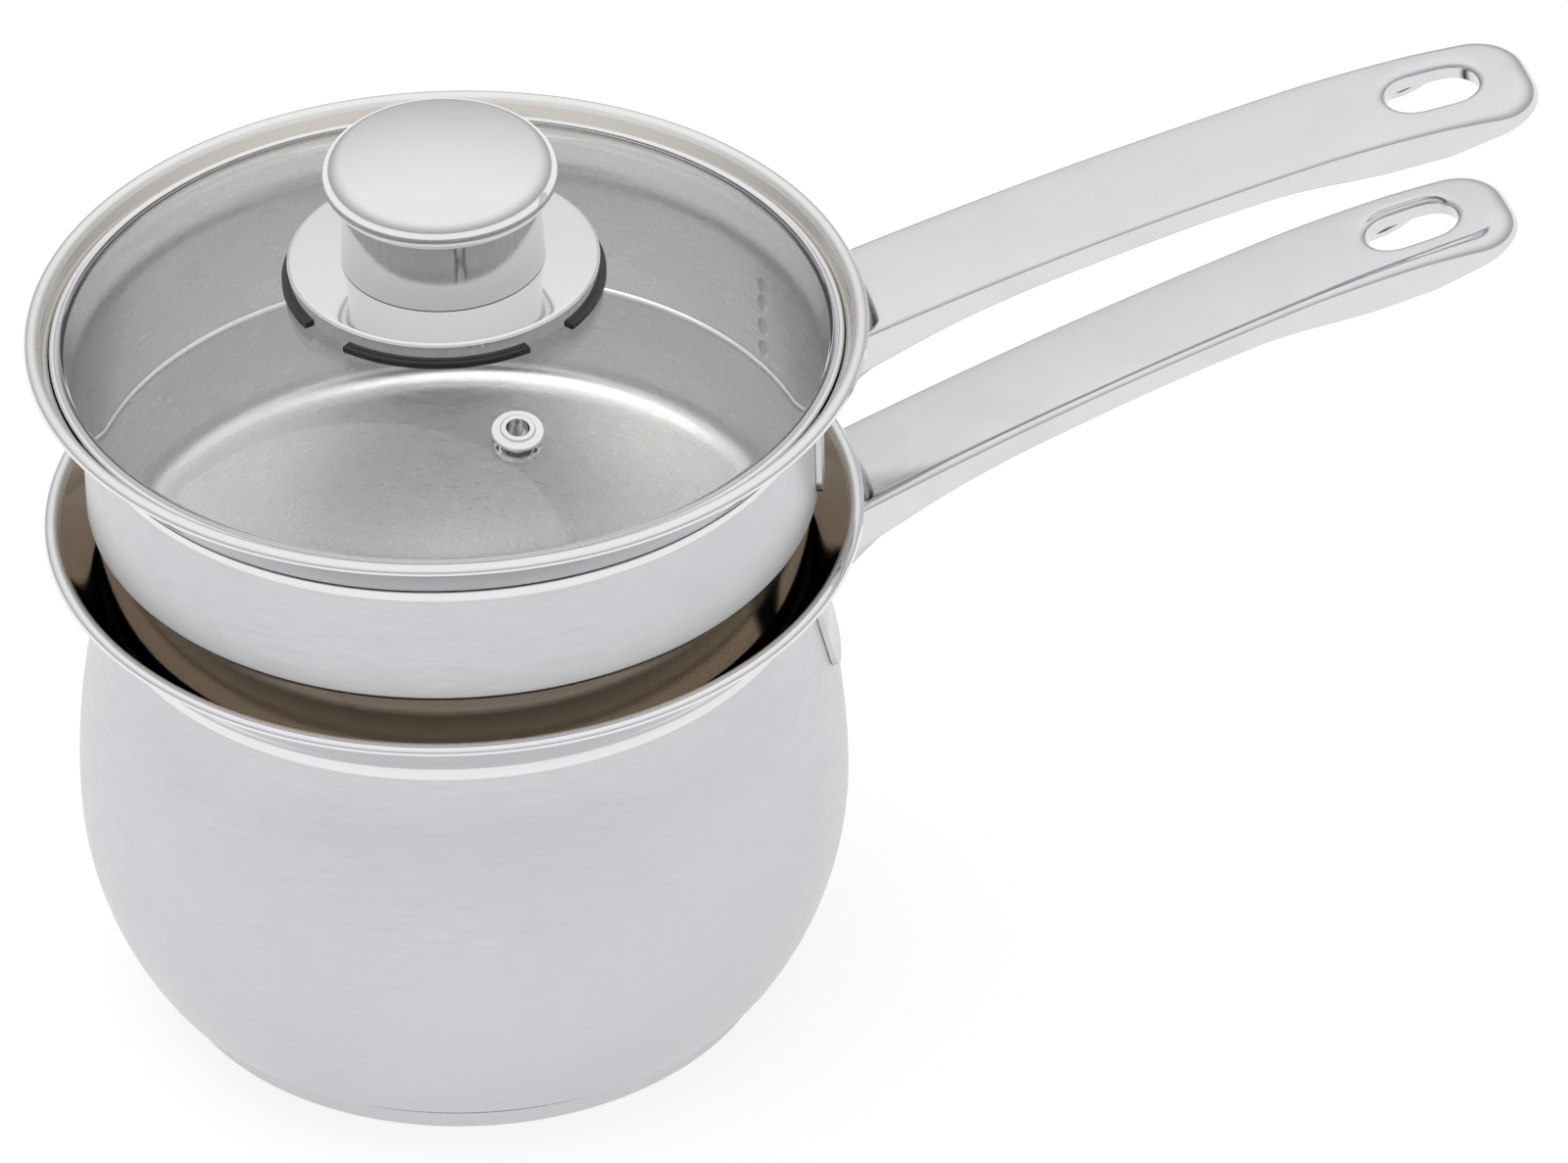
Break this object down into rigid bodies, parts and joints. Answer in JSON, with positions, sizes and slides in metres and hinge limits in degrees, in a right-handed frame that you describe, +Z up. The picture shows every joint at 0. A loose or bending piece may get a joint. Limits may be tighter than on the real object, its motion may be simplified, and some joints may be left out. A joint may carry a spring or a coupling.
{
  "type": "double boiler",
  "caption": "Stainless steel double boiler: a bellied pot on a sandwich base, an insert pan that seats in its neck, a domed glass lid with a knob, and long hollow handles.",
  "frame": {"origin": "on the common axis of pot, insert and lid, in the plane that the base stands on", "axes": "+Z up along the common axis, +X along the pot's handle, +Y completes a right-handed frame"},
  "size_m": [0.3376, 0.184, 0.2155],
  "materials": {
    "satin_steel": "fine satin, brushed round the axis",
    "handle_steel": "satin, brushed along the handle",
    "polished_steel": "mirror polished",
    "bracket_steel": "pickled sheet",
    "aluminium": "rolled",
    "glass": "clear tempered",
    "black_plastic": "moulded, heat resistant",
    "silicone": "translucent white",
    "brass": "turned"
  },
  "bodies": {
    "lower_pot": {"pot_shell": "satin_steel", "base_core": "aluminium", "base_cap": "polished_steel", "pot_handle": "handle_steel", "pot_handle_bracket": "bracket_steel"},
    "upper_pan": {"pan_shell": "satin_steel", "pan_handle": "handle_steel", "pan_handle_bracket": "bracket_steel"},
    "lid": {"lid_glass": "glass", "lid_band": "polished_steel", "vent_eyelet": "polished_steel", "vent_washer": "polished_steel", "knob_cap": "polished_steel", "knob_neck": "polished_steel", "knob_base_plate": "polished_steel", "knob_spacer": "black_plastic", "knob_core": "black_plastic", "knob_nut": "brass", "knob_screw": "polished_steel", "screw_washer": "polished_steel", "screw_seal": "silicone"}
  },
  "joints": [
    {"name": "pan_lift", "type": "slide", "parent": "lower_pot", "child": "upper_pan", "axis": [0, 0, 1], "range_m": [0, 0.1]},
    {"name": "lid_lift", "type": "slide", "parent": "upper_pan", "child": "lid", "axis": [0, 0, 1], "range_m": [0, 0.08]}
  ]
}
